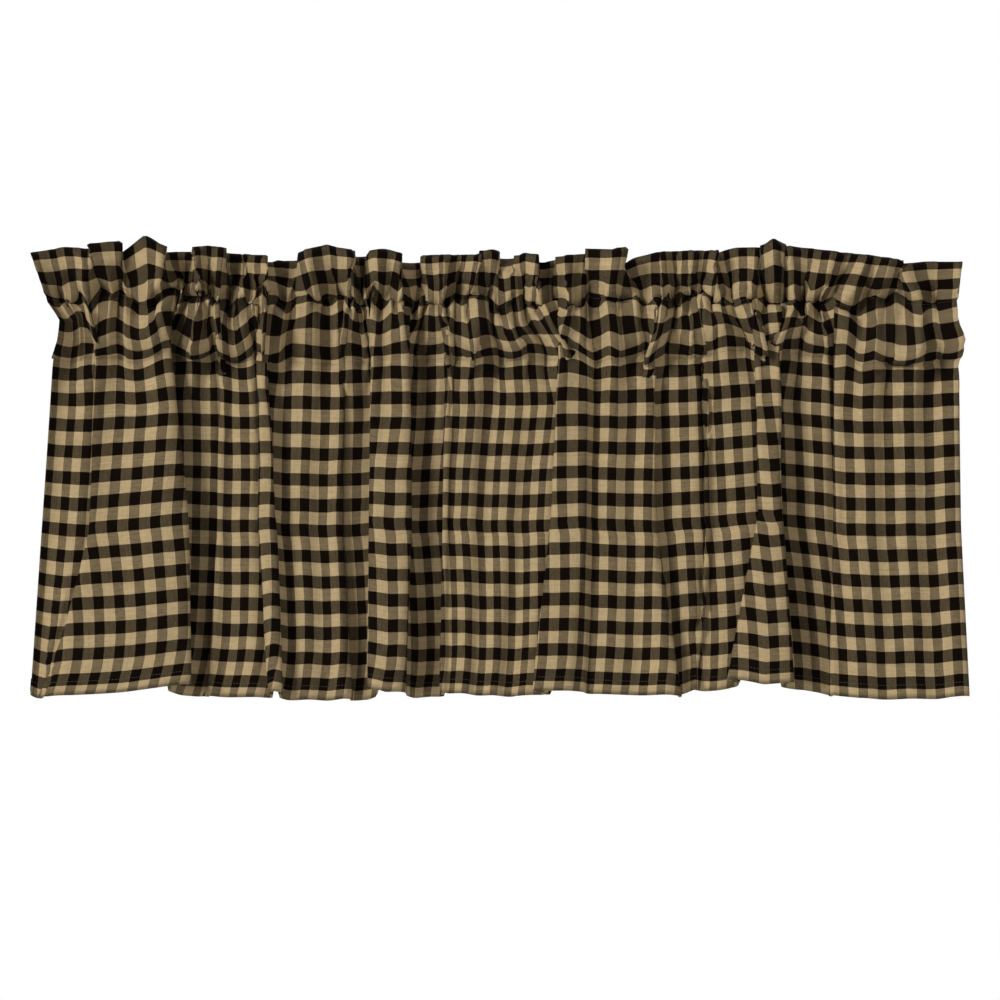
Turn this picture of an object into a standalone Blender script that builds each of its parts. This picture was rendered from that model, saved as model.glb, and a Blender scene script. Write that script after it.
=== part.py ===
"""A rod-pocket window valance in woven check cotton, gathered as it hangs.

The valance is one cut length of cloth. Its top is folded to the back and sewn down along two
seams, which leaves a standing ruffle, the heading, above an open channel for a curtain rod, the
rod pocket. Below the pocket the cloth hangs in broad uneven folds down to a narrow hem.

Frame, in metres: X runs along the rod, +Z is up and the front faces -Y. The origin is at the middle
of the top edge. In this file a depth is a distance towards the front, so y is minus the depth.
"""

import math

import bmesh
import bpy
import numpy as np

# The cloth. The skirt's length runs along the cloth, from the hem up to the pocket.
SKIRT_LENGTH = 0.3005
CLOTH_THICKNESS = 0.0012
HEM_THICKNESS = 0.0022
HEADING_THICKNESS = 0.0020

# The rod pocket, seen from its end. The rod is not part of the valance.
ROD_AXIS_Z = -0.070
SEAM_HALF_HEIGHT = 0.0245
POCKET_ROW_HEIGHT = 0.0112
CHANNEL_DEPTH_AT_AXIS = 0.0146
CHANNEL_DEPTH_AT_ROWS = 0.0128
CHANNEL_TO_SEAM = 0.0016
SEAM_LEFT_X = -0.393
SEAM_RIGHT_X = 0.403

# The gathers at the two seams: how many, how deep, and how far they swing aside.
GATHERS = 38
COLUMNS_PER_GATHER = 4
GATHER_DEPTH = 0.0072
GATHER_SIDE_SWING = 0.0016
POCKET_GATHER_SHARE = 0.80
GATHER_FADE = 0.16
HEADING_GATHER_FALLOFF = 1.2

# How uneven the gathers are, in width and in size, and how fast each of the two changes, in radians
# from one gather to the next.
WIDTH_UNEVENNESS = 0.30
WIDTH_PACE = 2.4
WIDTH_PACE_WANDER = 0.7
WANDER_PACE = 0.9
SIZE_UNEVENNESS = 0.25
SIZE_PACE = 1.7

# How far down the skirt, from 0 at the pocket to 1 at the hem, the broad folds open.
FOLDS_OPEN_AT = 0.25
DEPTH_AT_TOP = 0.6
RIDE_OF_FRONT_FOLDS = 0.20
SKIRT_ROWS = (1.0, 0.95, 0.76, 0.56, 0.36, 0.18, 0.07, 0.0)
HEADING_ROWS = (0.0, 0.30, 0.62, 1.0)

# The broad folds of the skirt from left to right. Each row is one panel of cloth between two fold
# edges: where its right edge lies at the pocket, half way down and at the hem, how far forward the
# panel stands half way down and at the hem, how far the cloth doubles back behind that edge half way
# down and at the hem (below 0 it slants off instead), how many waves the panel has and how deep they
# are, and how much higher than the rest the hem hangs in the panel's middle and at its right edge.
FOLD_COLUMNS = (
    "edge_top", "edge_middle", "edge_hem", "depth_middle", "depth_hem", "tuck_middle", "tuck_hem",
    "waves", "wave_depth", "rise", "edge_rise",
)
FOLDS = (
    (-0.358, -0.362, -0.396, 0.000, 0.010, 0.008, -0.010, 1, 0.006, -0.0060, -0.0080),
    (-0.287, -0.273, -0.270, 0.018, 0.026, 0.018, 0.024, 1, 0.004, -0.0040, 0.0075),
    (-0.249, -0.250, -0.258, -0.014, -0.016, 0.006, 0.000, 1, 0.004, 0.0000, 0.0000),
    (-0.216, -0.213, -0.204, 0.000, 0.000, 0.008, 0.003, 1, 0.007, 0.0000, 0.0010),
    (-0.205, -0.196, -0.191, 0.016, 0.018, 0.008, 0.003, 0, 0.000, 0.0040, 0.0010),
    (-0.136, -0.138, -0.130, 0.002, 0.006, 0.006, 0.002, 2, 0.005, 0.0020, 0.0030),
    (-0.115, -0.116, -0.117, -0.010, -0.012, 0.012, 0.010, 0, 0.000, 0.0040, 0.0100),
    (-0.078, -0.077, -0.085, 0.018, 0.024, 0.010, -0.004, 0, 0.000, 0.0015, 0.0030),
    (-0.049, -0.051, -0.053, -0.014, -0.016, 0.006, 0.003, 1, 0.004, 0.0030, 0.0030),
    (0.049, 0.043, 0.027, 0.006, 0.010, 0.018, 0.020, 3, 0.008, 0.0010, 0.0020),
    (0.076, 0.074, 0.061, 0.018, 0.026, -0.004, -0.012, 0, 0.000, 0.0000, 0.0000),
    (0.139, 0.140, 0.165, 0.006, 0.014, 0.012, 0.004, 2, 0.007, -0.0010, -0.0030),
    (0.177, 0.180, 0.170, -0.010, -0.008, 0.006, 0.002, 1, 0.006, 0.0020, 0.0020),
    (0.222, 0.226, 0.199, 0.000, 0.000, 0.014, 0.012, 1, 0.007, 0.0010, 0.0050),
    (0.248, 0.250, 0.259, 0.020, 0.024, 0.016, 0.010, 0, 0.000, -0.0030, 0.0030),
    (0.294, 0.294, 0.290, -0.012, -0.014, 0.006, 0.004, 1, 0.006, 0.0040, 0.0020),
    (0.404, 0.406, 0.413, 0.010, 0.016, 0.000, 0.000, 3, 0.007, 0.0000, 0.0000),
)
LEFT_EDGE = (-0.394, -0.401, -0.413)

# The ruffles of the heading from left to right: where each one's right edge lies along the top
# edge, how far forward it stands, how high its top reaches at its left, middle and right, and how
# far the cloth doubles back behind that edge.
RUFFLE_COLUMNS = ("edge", "depth", "top_left", "top_middle", "top_right", "tuck")
RUFFLES = (
    (-0.364, 0.006, -0.0035, 0.0020, 0.0000, 0.004),
    (-0.328, 0.014, 0.0050, 0.0065, 0.0068, 0.012),
    (-0.293, 0.003, -0.0025, 0.0105, 0.0030, 0.008),
    (-0.271, -0.010, -0.0015, -0.0010, -0.0015, 0.004),
    (-0.241, 0.010, 0.0023, 0.0035, 0.0005, 0.008),
    (-0.226, -0.006, -0.0021, -0.0030, -0.0040, 0.003),
    (-0.205, 0.006, -0.0040, -0.0045, -0.0055, 0.006),
    (-0.179, -0.011, -0.0085, -0.0090, -0.0085, 0.008),
    (-0.127, 0.014, -0.0035, 0.0040, 0.0000, 0.008),
    (-0.118, -0.010, -0.0053, -0.0055, -0.0053, 0.004),
    (-0.086, 0.012, -0.0018, 0.0004, -0.0035, 0.008),
    (-0.069, -0.012, -0.0106, -0.0110, -0.0106, 0.006),
    (-0.019, 0.007, -0.0053, -0.0044, -0.0044, 0.004),
    (0.000, 0.013, -0.0009, 0.0000, -0.0015, 0.006),
    (0.012, -0.010, -0.0078, -0.0080, -0.0078, 0.004),
    (0.034, 0.008, -0.0055, -0.0026, -0.0050, 0.006),
    (0.049, -0.010, -0.0080, -0.0082, -0.0080, 0.004),
    (0.075, 0.004, -0.0057, -0.0048, -0.0040, 0.003),
    (0.114, 0.014, 0.0006, -0.0005, 0.0022, 0.014),
    (0.141, -0.006, -0.0130, -0.0070, -0.0022, 0.001),
    (0.193, 0.005, -0.0022, -0.0009, -0.0004, 0.008),
    (0.231, -0.004, -0.0040, 0.0022, 0.0022, 0.001),
    (0.253, 0.012, 0.0030, 0.0090, 0.0035, 0.002),
    (0.358, 0.005, 0.0035, -0.0028, -0.0095, 0.010),
    (0.411, -0.005, -0.0132, -0.0102, -0.0110, 0.000),
)
HEADING_LEFT_EDGE = -0.415
RUFFLES_OPEN_AT = 0.7
TOP_INSET = 0.12

# The bend at a fold edge: how far its corners are rounded, at most, and as a share of the panel, how
# far the near corner bulges past the edge, and how much of the step from panel to panel it takes.
EDGE_ROUNDING = 0.006
ROUNDING_SHARE = 0.3
BULGE = 0.5
CORNER_STEP = 0.2

CURVE_SAMPLES = 2400
JUST_INSIDE = 1e-9
LEAST_DROP = 0.82
SHARP_ANGLE = math.radians(60.0)
CLOTH_COLOUR = (0.10, 0.08, 0.055, 1.0)


def smoothstep(value):
    """0 up to value 0, 1 from value 1, and a smooth rise between them."""
    held = np.clip(value, 0.0, 1.0)
    return held * held * (3.0 - 2.0 * held)


def through_heights(top, middle, hem, down):
    """A size at a place down the skirt, from its sizes at the pocket, half way down and at the hem."""
    return np.interp(down, (0.0, 0.5, 1.0), (top, middle, hem))


def rounded_line(corners):
    """A smooth open curve that follows a line of corners, as an array of points."""
    padded = np.vstack([corners[0], corners[0], corners, corners[-1], corners[-1]])
    spans = len(padded) - 3
    place = np.linspace(0.0, spans - JUST_INSIDE, CURVE_SAMPLES)
    start = place.astype(int)
    along = (place - start)[:, None]
    weights = (
        (1.0 - along) ** 3,
        3.0 * along**3 - 6.0 * along**2 + 4.0,
        -3.0 * along**3 + 3.0 * along**2 + 3.0 * along + 1.0,
        along**3,
    )
    return sum(weight * padded[start + step] for step, weight in enumerate(weights)) / 6.0


def folded_line(left_edge, panels):
    """A row of cloth panels seen from above, doubled back at their edges, and where those edges lie on it.

    Each panel has its right edge, its depth, its tuck, its number of waves and their depth.
    """
    corners = [(left_edge, panels[0][1])]
    marks = []
    start = left_edge
    for number, (edge, depth, tuck, waves, wave_depth) in enumerate(panels):
        width = edge - start
        halves = max(2 * waves, 1)
        for half in range(halves):
            swing = wave_depth if half % 2 else -wave_depth
            corners.append((start + (half + 0.5) / halves * width, depth + swing))
        if number + 1 == len(panels):
            corners.append((edge, depth))
            break
        following = panels[number + 1][1]
        step = depth - following
        way = 1.0 if step > 0.0 else -1.0
        near, far = (depth, following) if step > 0.0 else (following, depth)
        rounding = min(EDGE_ROUNDING, ROUNDING_SHARE * width)
        corner_step = CORNER_STEP * abs(step)
        bend = [
            (edge - way * rounding, near),
            (edge + way * BULGE * rounding, near - corner_step),
            (edge - way * 0.5 * tuck, 0.5 * (near + far)),
            (edge - way * (tuck + BULGE * rounding), far + corner_step),
            (edge - way * (tuck - rounding), far),
        ]
        corners.extend(bend if step > 0.0 else bend[::-1])
        marks.append(len(corners) - len(bend) // 2)
        start = edge
    line = rounded_line(np.array(corners))
    spans = len(corners) + 1
    return line, [0, *(mark * len(line) // spans for mark in marks), len(line) - 1]


def lengths_along(line):
    """The length of a line from its start to each of its points."""
    steps = np.linalg.norm(np.diff(line, axis=0), axis=1)
    return np.concatenate([[0.0], np.cumsum(steps)])


def laid_along(line, marks, shares, places):
    """Points of a line at places of the cloth, where each stretch between marks has its own share of it."""
    lengths = lengths_along(line)
    cloth = np.interp(lengths, lengths[marks], shares)
    return np.stack([np.interp(places, cloth, line[:, axis]) for axis in (0, 1)])


def gather_phases():
    """Where each column of cloth lies in its gather, in turns, with gathers of uneven width."""
    number = np.arange(GATHERS)
    wander = WIDTH_PACE_WANDER * np.sin(WANDER_PACE * number)
    widths = 1.0 + WIDTH_UNEVENNESS * np.sin(WIDTH_PACE * number + wander)
    ends = np.concatenate([[0.0], np.cumsum(widths)]) / widths.sum()
    turns = np.arange(GATHERS * COLUMNS_PER_GATHER + 1) / COLUMNS_PER_GATHER
    return np.interp(turns, np.arange(GATHERS + 1), ends), turns


def gather_wave(turns):
    """The gathers' depth and side swing, each from -1 to 1, at a place in turns."""
    size = 1.0 + SIZE_UNEVENNESS * np.sin(SIZE_PACE * np.floor(turns + 0.5))
    return size * np.cos(2.0 * math.pi * turns), -np.sin(4.0 * math.pi * turns)


def fold_line(down):
    """The broad folds of the skirt at a height, and where their edges lie on that line."""
    opened = smoothstep(down / FOLDS_OPEN_AT)
    panels = []
    for row in FOLDS:
        fold = dict(zip(FOLD_COLUMNS, row))
        edge = through_heights(fold["edge_top"], fold["edge_middle"], fold["edge_hem"], down)
        depth_top = DEPTH_AT_TOP * fold["depth_middle"]
        depth = through_heights(depth_top, fold["depth_middle"], fold["depth_hem"], down)
        tuck = through_heights(fold["tuck_middle"], fold["tuck_middle"], fold["tuck_hem"], down)
        panels.append((edge, opened * depth, opened * tuck, fold["waves"], opened * fold["wave_depth"]))
    return folded_line(through_heights(*LEFT_EDGE, down), panels)


def fold_shares():
    """The share of the cloth's width that lies left of each fold edge, as it is half way down."""
    line, marks = fold_line(0.5)
    lengths = lengths_along(line)
    return lengths[marks] / lengths[-1]


def hem_rise(places):
    """How much higher than the rest the hem hangs, along the cloth's width."""
    edges = fold_shares()
    known = np.sort(np.concatenate([edges, 0.5 * (edges[1:] + edges[:-1])]))
    heights = [0.0]
    for row in FOLDS:
        fold = dict(zip(FOLD_COLUMNS, row))
        heights.extend((fold["rise"], fold["edge_rise"]))
    return np.interp(places, known, heights)


def seam_sides(places):
    """Side place along the two seams, where the cloth of each fold is gathered up below or above it."""
    edges = [SEAM_LEFT_X, *(row[0] for row in FOLDS[:-1]), SEAM_RIGHT_X]
    return np.interp(places, fold_shares(), edges)


def skirt_row(places, turns, down):
    """A row of the skirt: side place, depth, and how much higher its cloth rides than plain cloth."""
    line, marks = fold_line(down)
    folded = laid_along(line, marks, fold_shares(), places)
    opened = smoothstep(down / FOLDS_OPEN_AT)
    level = seam_sides(places)
    depth_wave, side_wave = gather_wave(turns)
    left = math.exp(-down / GATHER_FADE)
    side = folded[0] * opened + level * (1.0 - opened) + side_wave * GATHER_SIDE_SWING * left
    ride = down * (RIDE_OF_FRONT_FOLDS * folded[1] + hem_rise(places))
    return side, folded[1] + depth_wave * GATHER_DEPTH * left, ride


def heading_row(places, turns, up):
    """Side place, depth and height of a row of the heading, from 0 at its seam to 1 at the top edge."""
    table = {name: np.array(column) for name, column in zip(RUFFLE_COLUMNS, zip(*RUFFLES))}
    bends = zip(table["edge"], table["depth"], table["tuck"])
    panels = [(edge, depth, tuck, 0, 0.0) for edge, depth, tuck in bends]
    line, marks = folded_line(HEADING_LEFT_EDGE, panels)
    level = seam_sides(places)
    shares = np.array((0.0, *np.interp(table["edge"][:-1], level, places), 1.0))
    ruffled = laid_along(line, marks, shares, places)
    inset = TOP_INSET * np.diff(shares)
    known = np.stack([shares[:-1] + inset, 0.5 * (shares[1:] + shares[:-1]), shares[1:] - inset], axis=1)
    known_tops = np.stack([table["top_left"], table["top_middle"], table["top_right"]], axis=1)
    tops = np.interp(places, known.reshape(-1), known_tops.reshape(-1))
    depth_wave, side_wave = gather_wave(turns)
    opened = smoothstep(up / RUFFLES_OPEN_AT)
    left = (1.0 - up) ** HEADING_GATHER_FALLOFF
    side = ruffled[0] * opened + level * (1.0 - opened) + side_wave * GATHER_SIDE_SWING * left
    depth = ruffled[1] * opened + depth_wave * GATHER_DEPTH * left
    seam_z = ROD_AXIS_Z + SEAM_HALF_HEIGHT
    return side, depth, seam_z + (tops - seam_z) * up


def pocket_rows(places, turns, facing):
    """The rows of the pocket's front layer from the upper seam down, or of its back layer: facing -1."""
    depth_wave, side_wave = gather_wave(turns)
    side = seam_sides(places) + side_wave * GATHER_SIDE_SWING
    swing = GATHER_DEPTH * POCKET_GATHER_SHARE
    out_to_crest = 0.5 * CLOTH_THICKNESS + (1.0 + SIZE_UNEVENNESS) * swing
    rows = []
    for height, channel in (
        (POCKET_ROW_HEIGHT, CHANNEL_DEPTH_AT_ROWS),
        (0.0, CHANNEL_DEPTH_AT_AXIS),
        (-POCKET_ROW_HEIGHT, CHANNEL_DEPTH_AT_ROWS),
    ):
        depth = facing * (channel + out_to_crest) + depth_wave * swing
        rows.append((side, depth, np.full_like(side, ROD_AXIS_Z + height)))
    return rows


def cloth_rows():
    """The middle of the cloth as rows of points: heading, pocket front, pocket back and skirt."""
    places, turns = gather_phases()
    heading = [heading_row(places, turns, up) for up in reversed(HEADING_ROWS)]
    front = pocket_rows(places, turns, 1.0)
    back = pocket_rows(places, turns, -1.0)
    side, depth, _ = skirt_row(places, turns, 0.0)
    height = np.full_like(side, ROD_AXIS_Z - SEAM_HALF_HEIGHT)
    skirt = [(side, depth, height)]
    above = 0.0
    for down in reversed(SKIRT_ROWS[:-1]):
        next_side, next_depth, ride = skirt_row(places, turns, down)
        slant = np.hypot(next_side - side, next_depth - depth)
        length = (down - above) * SKIRT_LENGTH
        drop = np.sqrt(np.maximum(length**2 - slant**2, (LEAST_DROP * length) ** 2))
        side, depth, height = next_side, next_depth, height - drop
        skirt.append((side, depth, height + ride))
        above = down
    return [
        np.array([(side, -depth, height) for side, depth, height in rows]).transpose(0, 2, 1)
        for rows in (heading, front, back, skirt)
    ]


def facing_out(rows):
    """Unit normals of a net of points, pointing to the front where the net hangs flat."""
    along = np.gradient(rows, axis=1)
    down = np.gradient(rows, axis=0)
    normals = np.cross(down, along)
    return normals / np.linalg.norm(normals, axis=2, keepdims=True)


def wall_faces(rings, closed_ring):
    """Quads between neighbouring rings of vertices."""
    count = len(rings[0])
    for ring, following in zip(rings, rings[1:]):
        for place in range(count if closed_ring else count - 1):
            after = (place + 1) % count
            yield ring[place], ring[after], following[after], following[place]


def valance_mesh():
    """The valance as one closed solid: a sheet that parts into two layers round the open pocket."""
    heading, front, back, skirt = cloth_rows()
    face = np.concatenate([heading, front, skirt])
    normals = facing_out(face)
    rear_normals = facing_out(np.concatenate([heading[-1:], back, skirt[:1]]))[1:-1]
    thickness = np.concatenate(
        [
            np.full(len(heading), HEADING_THICKNESS),
            np.full(len(front) + len(skirt) - 2, CLOTH_THICKNESS),
            np.full(2, HEM_THICKNESS),
        ]
    )[:, None, None]
    outside = face + 0.5 * thickness * normals
    inside = face - 0.5 * thickness * normals
    pocket = slice(len(heading), len(heading) + len(front))
    rear_outside = back - 0.5 * CLOTH_THICKNESS * rear_normals
    rear_inside = back + 0.5 * CLOTH_THICKNESS * rear_normals
    behind = np.concatenate([inside[: pocket.start], rear_outside, inside[pocket.stop :]])
    tip = np.array((0.0, 0.0, CHANNEL_TO_SEAM))
    channel_top = heading[-1] - tip
    channel_foot = skirt[0] + tip

    bm = bmesh.new()

    def column(points, place):
        return [bm.verts.new(point) for point in points[:, place]]

    shells = []
    channels = []
    for place in range(face.shape[1]):
        shells.append(column(outside, place) + column(behind, place)[::-1])
        lining = np.concatenate([channel_top[None], inside[pocket], channel_foot[None], rear_inside[::-1]])
        channels.append(column(lining, place))
    for quad in wall_faces(shells, True):
        bm.faces.new(quad[::-1])
    for quad in wall_faces(channels, True):
        bm.faces.new(quad)

    rows = face.shape[0]
    layers = len(front)
    for shell, channel, flip in ((shells[0], channels[0], False), (shells[-1], channels[-1], True)):
        outer, rear = shell[:rows], shell[rows:][::-1]
        cap = []
        for row in range(rows - 1):
            if row < pocket.start - 1 or row >= pocket.stop:
                cap.append((outer[row], outer[row + 1], rear[row + 1], rear[row]))
        inner_front = channel[: layers + 2]
        inner_rear = [channel[0], *channel[: layers + 1 : -1], channel[layers + 1]]
        cap.append((outer[pocket.start - 1], inner_front[0], rear[pocket.start - 1]))
        cap.append((outer[pocket.stop], rear[pocket.stop], inner_front[-1]))
        for step in range(layers + 1):
            row = pocket.start - 1 + step
            cap.append((outer[row], outer[row + 1], inner_front[step + 1], inner_front[step]))
            cap.append((rear[row + 1], rear[row], inner_rear[step], inner_rear[step + 1]))
        for corners in cap:
            bm.faces.new(corners[::-1] if flip else corners)
    bmesh.ops.recalc_face_normals(bm, faces=bm.faces)
    mesh = bpy.data.meshes.new("valance_cloth")
    bm.to_mesh(mesh)
    bm.free()
    mesh.shade_smooth()
    mesh.set_sharp_from_angle(angle=SHARP_ANGLE)
    return mesh


def cloth_material():
    """Unbleached and black cotton, matt, in the mean colour of its checks."""
    material = bpy.data.materials.new("check_cotton")
    material.use_nodes = True
    shader = material.node_tree.nodes["Principled BSDF"]
    shader.inputs["Base Color"].default_value = CLOTH_COLOUR
    shader.inputs["Roughness"].default_value = 0.92
    shader.inputs["Metallic"].default_value = 0.0
    return material


def main():
    for old in list(bpy.data.objects):
        bpy.data.objects.remove(old)
    valance = bpy.data.objects.new("valance", valance_mesh())
    valance.data.materials.append(cloth_material())
    bpy.context.scene.collection.objects.link(valance)


main()
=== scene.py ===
import math

import bmesh
import bpy
import numpy as np
from mathutils import Matrix, Vector


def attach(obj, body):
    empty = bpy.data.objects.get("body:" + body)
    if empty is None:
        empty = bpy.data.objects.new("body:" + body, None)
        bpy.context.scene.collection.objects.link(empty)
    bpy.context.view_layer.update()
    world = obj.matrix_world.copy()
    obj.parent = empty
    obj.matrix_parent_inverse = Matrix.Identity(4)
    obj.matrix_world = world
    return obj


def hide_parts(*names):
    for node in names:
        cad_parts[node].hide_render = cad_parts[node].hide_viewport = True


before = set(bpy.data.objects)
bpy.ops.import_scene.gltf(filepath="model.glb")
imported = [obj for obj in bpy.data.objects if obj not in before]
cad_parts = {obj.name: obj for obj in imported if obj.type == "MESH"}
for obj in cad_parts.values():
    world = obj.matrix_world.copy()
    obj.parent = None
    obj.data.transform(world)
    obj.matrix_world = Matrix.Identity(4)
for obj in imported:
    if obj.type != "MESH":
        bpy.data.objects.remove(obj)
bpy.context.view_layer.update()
scene = bpy.context.scene


# ---------------------------------------------------------------------------------------------
# The valance, before its weight settles. It is one cut length of check cotton: a hemmed skirt, the
# front of the rod pocket and of the heading, and then the same cloth turned over the top to be the
# back of both. Two seams sew front and back together, and the rod gathers them to half their width.
# ---------------------------------------------------------------------------------------------
FLAT_WIDTH = 1.524
SKIRT_LENGTH = 0.3005
POCKET_LENGTH = 0.0585
HEADING_LENGTH = 0.0455
CUT_LENGTH = SKIRT_LENGTH + 2.0 * (POCKET_LENGTH + HEADING_LENGTH)

COLUMNS = 400
SKIRT_STEPS = 51
POCKET_STEPS = 10
HEADING_STEPS = 10

SEAM_LEFT_X = -0.393
SEAM_RIGHT_X = 0.403
ROD_CLEARANCE = 0.0095
PUFF_DEPTH = 0.0060
PUFF_SAG = 0.002
PUFF_TURNS = 50
PUFF_SEED = 5
PUFF_UNEVENNESS = 0.25
PUFF_RANGE = (0.5, 1.5)
BACK_SLACK = 0.006
LAYER_GAP = 0.0009

GATHERS = 54
GATHER_SEED = 7
GATHER_DEPTH = 0.0062
GATHER_SHARPNESS = 1.6
SEAM_SINK = 0.0045
SEAM_SINK_REACH = 0.004
SEAM_WANDER = 0.0022
SEAM_TURNS = 70
SEAM_SEED = 1
KNUCKLE_LIFT = 0.0016
KNUCKLE_TURNS = 24
KNUCKLE_SEED = 3
GATHER_SIDE_SWING = 0.0019
GATHER_REACH = 0.015
GATHER_SHARE_BELOW = 0.40
GATHER_FADE = 0.055
GROUPS = 27
GROUP_SEED = 11
GROUP_DEPTH = 0.0125
GROUP_SIDE_SWING = 0.0024
GROUP_SHARE_IN_SEAM = 0.20
GROUP_SHARE_BELOW = 0.64
GROUP_SHARE_IN_HEADING = 0.50
GROUP_SHARE_AT_TOP = 0.10
GROUP_FADE = 0.18
FOLDS_OPEN_IN_SEAM = 0.62
FOLDS_OPEN_AT = 0.16
TUCK_ADDED_ABOVE = 0.9
TUCK_FADE = 0.30
WIDEST_TUCK = 0.7
DEPTH_AT_TOP = 0.6
RIDE_OF_FRONT_FOLDS = 0.20
CALM_AT_EDGES = 0.85
CALM_REACH = 0.012
EDGE_ROUNDING = 0.004
CURVE_SAMPLES = 2400
JUST_INSIDE = 1e-9
LEAST_DROP = 0.82
EVENING_COLUMNS = 14
WIDTH_SPREAD = 0.38
WIDTH_RANGE = (0.5, 2.2)
DEPTH_SPREAD = 0.2
DEPTH_RANGE = (0.4, 1.8)
DEPTH_BY_WIDTH = 0.8
BEND_START = 0.2
BEND_IN_PANEL = 0.3
FOLD_LEVELS = (0.0, 0.5, 1.0)

# The broad folds of the skirt from left to right. Each row is one panel between two fold edges:
# where its right edge lies at the pocket, half way down and at the hem, how far forward the panel
# stands half way down and at the hem, how far the cloth doubles back behind that edge half way down
# and at the hem, how many waves the panel has and how deep they are, how much cloth it holds for its
# width, and how much higher than the rest the hem hangs in its middle and at its right edge.
FOLD_COLUMNS = (
    "edge_top", "edge_middle", "edge_hem", "depth_middle", "depth_hem", "tuck_middle", "tuck_hem",
    "waves", "wave_depth", "fullness", "rise", "edge_rise",
)
FOLDS = (
    (-0.358, -0.362, -0.396, 0.000, 0.010, 0.008, -0.010, 1, 0.006, 1.20, -0.0060, -0.0065),
    (-0.287, -0.273, -0.270, 0.018, 0.026, 0.018, 0.024, 1, 0.004, 1.04, -0.0015, 0.0055),
    (-0.249, -0.250, -0.258, -0.014, -0.016, 0.006, 0.000, 1, 0.004, 1.25, 0.0000, 0.0000),
    (-0.216, -0.213, -0.204, 0.000, 0.000, 0.008, 0.003, 1, 0.007, 1.18, -0.0015, -0.0025),
    (-0.205, -0.196, -0.191, 0.016, 0.018, 0.008, 0.003, 0, 0.000, 1.10, 0.0020, 0.0010),
    (-0.136, -0.138, -0.130, 0.000, 0.002, 0.006, 0.002, 2, 0.007, 1.15, 0.0025, 0.0030),
    (-0.115, -0.116, -0.117, -0.010, -0.012, 0.012, 0.010, 0, 0.000, 1.25, 0.0040, 0.0120),
    (-0.078, -0.077, -0.085, 0.018, 0.024, 0.010, -0.004, 0, 0.000, 1.05, 0.0015, 0.0030),
    (-0.049, -0.051, -0.053, -0.014, -0.016, 0.006, 0.003, 1, 0.004, 1.25, 0.0030, 0.0030),
    (0.049, 0.043, 0.027, 0.003, 0.006, 0.018, 0.020, 3, 0.010, 1.35, 0.0015, 0.0010),
    (0.076, 0.074, 0.061, 0.018, 0.026, -0.004, -0.012, 0, 0.000, 1.10, 0.0000, 0.0000),
    (0.139, 0.140, 0.160, 0.006, 0.014, 0.012, 0.004, 2, 0.007, 1.18, -0.0010, -0.0040),
    (0.177, 0.180, 0.175, -0.004, 0.001, 0.006, 0.002, 1, 0.006, 1.22, 0.0020, 0.0020),
    (0.222, 0.226, 0.199, 0.000, 0.000, 0.014, 0.012, 1, 0.007, 1.20, 0.0010, 0.0030),
    (0.248, 0.250, 0.259, 0.020, 0.024, 0.016, 0.010, 0, 0.000, 1.05, -0.0042, 0.0030),
    (0.294, 0.294, 0.290, -0.012, -0.014, 0.006, 0.004, 1, 0.006, 1.20, 0.0040, -0.0005),
    (0.404, 0.406, 0.413, 0.010, 0.016, 0.000, 0.000, 3, 0.007, 1.10, 0.0000, 0.0000),
)
LEFT_EDGE = (-0.394, -0.4045, -0.4135)

# The ruffles of the heading from left to right: where each one's right edge lies along the top
# edge, how far forward it stands, how high its top reaches at its left, middle and right, and how
# far the cloth doubles back behind that edge.
RUFFLE_COLUMNS = ("edge", "depth", "top_left", "top_middle", "top_right", "tuck")
RUFFLES = (
    (-0.364, 0.006, -0.0035, 0.0020, 0.0000, 0.004),
    (-0.332, 0.014, 0.0050, 0.0065, 0.0068, 0.004),
    (-0.293, 0.003, -0.0040, 0.0125, 0.0030, 0.008),
    (-0.271, -0.010, -0.0015, -0.0010, -0.0015, 0.004),
    (-0.241, 0.010, 0.0023, 0.0035, 0.0005, 0.008),
    (-0.226, -0.006, -0.0021, -0.0030, -0.0040, 0.003),
    (-0.205, 0.006, -0.0040, -0.0045, -0.0055, 0.006),
    (-0.179, -0.011, -0.0085, -0.0090, -0.0085, 0.008),
    (-0.127, 0.014, -0.0035, 0.0040, -0.0020, 0.008),
    (-0.118, -0.010, -0.0053, -0.0055, -0.0053, 0.004),
    (-0.086, 0.012, -0.0018, 0.0004, -0.0035, 0.008),
    (-0.069, -0.012, -0.0106, -0.0110, -0.0106, 0.006),
    (-0.019, 0.007, -0.0053, -0.0044, -0.0044, 0.004),
    (0.000, 0.013, -0.0009, 0.0000, -0.0015, 0.006),
    (0.012, -0.010, -0.0078, -0.0080, -0.0078, 0.004),
    (0.034, 0.008, -0.0055, -0.0026, -0.0050, 0.006),
    (0.049, -0.010, -0.0080, -0.0082, -0.0080, 0.004),
    (0.075, 0.004, -0.0057, -0.0048, -0.0040, 0.003),
    (0.114, 0.014, 0.0006, -0.0005, 0.0022, 0.014),
    (0.141, -0.006, -0.0130, -0.0070, -0.0022, 0.001),
    (0.193, 0.005, -0.0022, -0.0009, -0.0004, 0.008),
    (0.231, -0.004, -0.0040, 0.0022, 0.0022, 0.001),
    (0.253, 0.012, 0.0030, 0.0090, 0.0035, 0.002),
    (0.358, 0.005, 0.0035, -0.0028, -0.0095, 0.010),
    (0.411, -0.005, -0.0132, -0.0102, -0.0110, 0.000),
)
HEADING_LEFT_EDGE = -0.415
RUFFLES_OPEN_AT = 0.75
FLARE_REACH = 0.09
WIDEST_BEND = 0.35

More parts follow.
